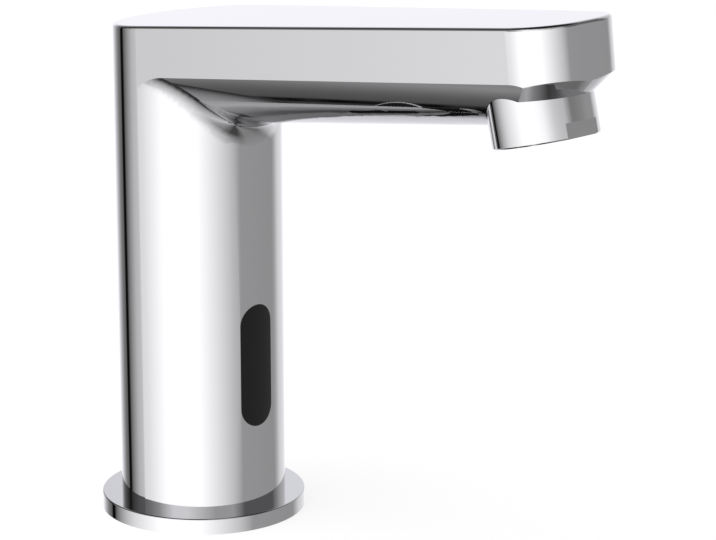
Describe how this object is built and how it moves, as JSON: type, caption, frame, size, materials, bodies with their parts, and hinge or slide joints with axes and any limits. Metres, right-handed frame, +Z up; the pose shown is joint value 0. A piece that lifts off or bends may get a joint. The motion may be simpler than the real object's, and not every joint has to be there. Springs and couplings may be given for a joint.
{
  "type": "sensor tap",
  "caption": "Deck-mounted sensor basin tap: round column with a sensor window, slab spout rising to a tilted aerator, pilot valve and solenoid inside.",
  "frame": {"origin": "middle of the foot's underside, on the column axis, in the deck plane", "axes": "+Z up along the column, +X towards the outlet, +Y to the side"},
  "size_m": [0.1724, 0.057, 0.1569],
  "materials": {
    "chrome_body": "polished",
    "chrome_plate": "polished",
    "chrome_collar": "polished",
    "rubber_seal": "matte",
    "brass": "machined",
    "steel": "machined",
    "black_plastic": "matte",
    "white_plastic": "gloss",
    "coil_resin": "gloss",
    "dark_window": "gloss",
    "board_green": "gloss",
    "clear_resin": "gloss",
    "dark_resin": "gloss",
    "red_resin": "gloss",
    "outlet_plastic": "matte"
  },
  "bodies": {
    "tap_body": {"body_casting": "chrome_body", "base_flange": "chrome_plate", "deck_seal": "rubber_seal", "base_insert": "brass", "cable_grommet": "rubber_seal", "inlet_strainer": "steel", "check_valve_body": "black_plastic", "check_valve_cap": "black_plastic", "check_valve_spring": "steel", "supply_tube": "steel", "tube_seal_rings": "rubber_seal", "valve_body": "brass", "valve_seal": "rubber_seal", "valve_screws": "steel", "bonnet_screws": "steel", "valve_bonnet": "black_plastic", "diaphragm": "rubber_seal", "armature_tube": "steel", "fixed_core": "steel", "plunger_spring": "steel", "solenoid_coil": "coil_resin", "solenoid_yoke": "steel", "solenoid_nut": "steel", "sensor_window": "dark_window", "window_gasket": "rubber_seal", "sensor_housing": "black_plastic", "sensor_board": "board_green", "ir_emitter": "clear_resin", "ir_receiver": "dark_resin", "status_light": "red_resin", "sensor_screws": "steel", "aerator_washer": "rubber_seal"},
    "plunger_group": {"plunger": "steel", "plunger_seal": "rubber_seal"},
    "pilot_disc": {"diaphragm_disc": "white_plastic"},
    "poppet": {"check_valve_poppet": "white_plastic"},
    "aerator": {"aerator_housing": "chrome_collar", "aerator_insert": "outlet_plastic", "aerator_screen": "steel", "flow_regulator": "white_plastic"}
  },
  "joints": [
    {"name": "plunger_slide", "type": "slide", "parent": "tap_body", "child": "plunger_group", "axis": [0, 0, -1], "range_m": [0, 0.0019], "stiffness_N_per_m": 150, "springref_m": -0.004, "deforming": ["plunger_spring"]},
    {"name": "diaphragm_slide", "type": "slide", "parent": "tap_body", "child": "pilot_disc", "axis": [0, 0, -1], "range_m": [0, 0.00143], "deforming": ["diaphragm"]},
    {"name": "check_slide", "type": "slide", "parent": "tap_body", "child": "poppet", "axis": [0, 0, 1], "range_m": [0, 0.002], "stiffness_N_per_m": 80, "springref_m": -0.004, "deforming": ["check_valve_spring"]},
    {"name": "aerator_turn", "type": "hinge", "parent": "tap_body", "child": "aerator", "pos_m": [0.1291, 0, 0.1251], "axis": [0.2419, 0, -0.9703], "range_deg": [0, 360]}
  ],
  "couplings": [
    {"joint": "diaphragm_slide", "follows": "plunger_slide", "ratio": 0.75}
  ]
}
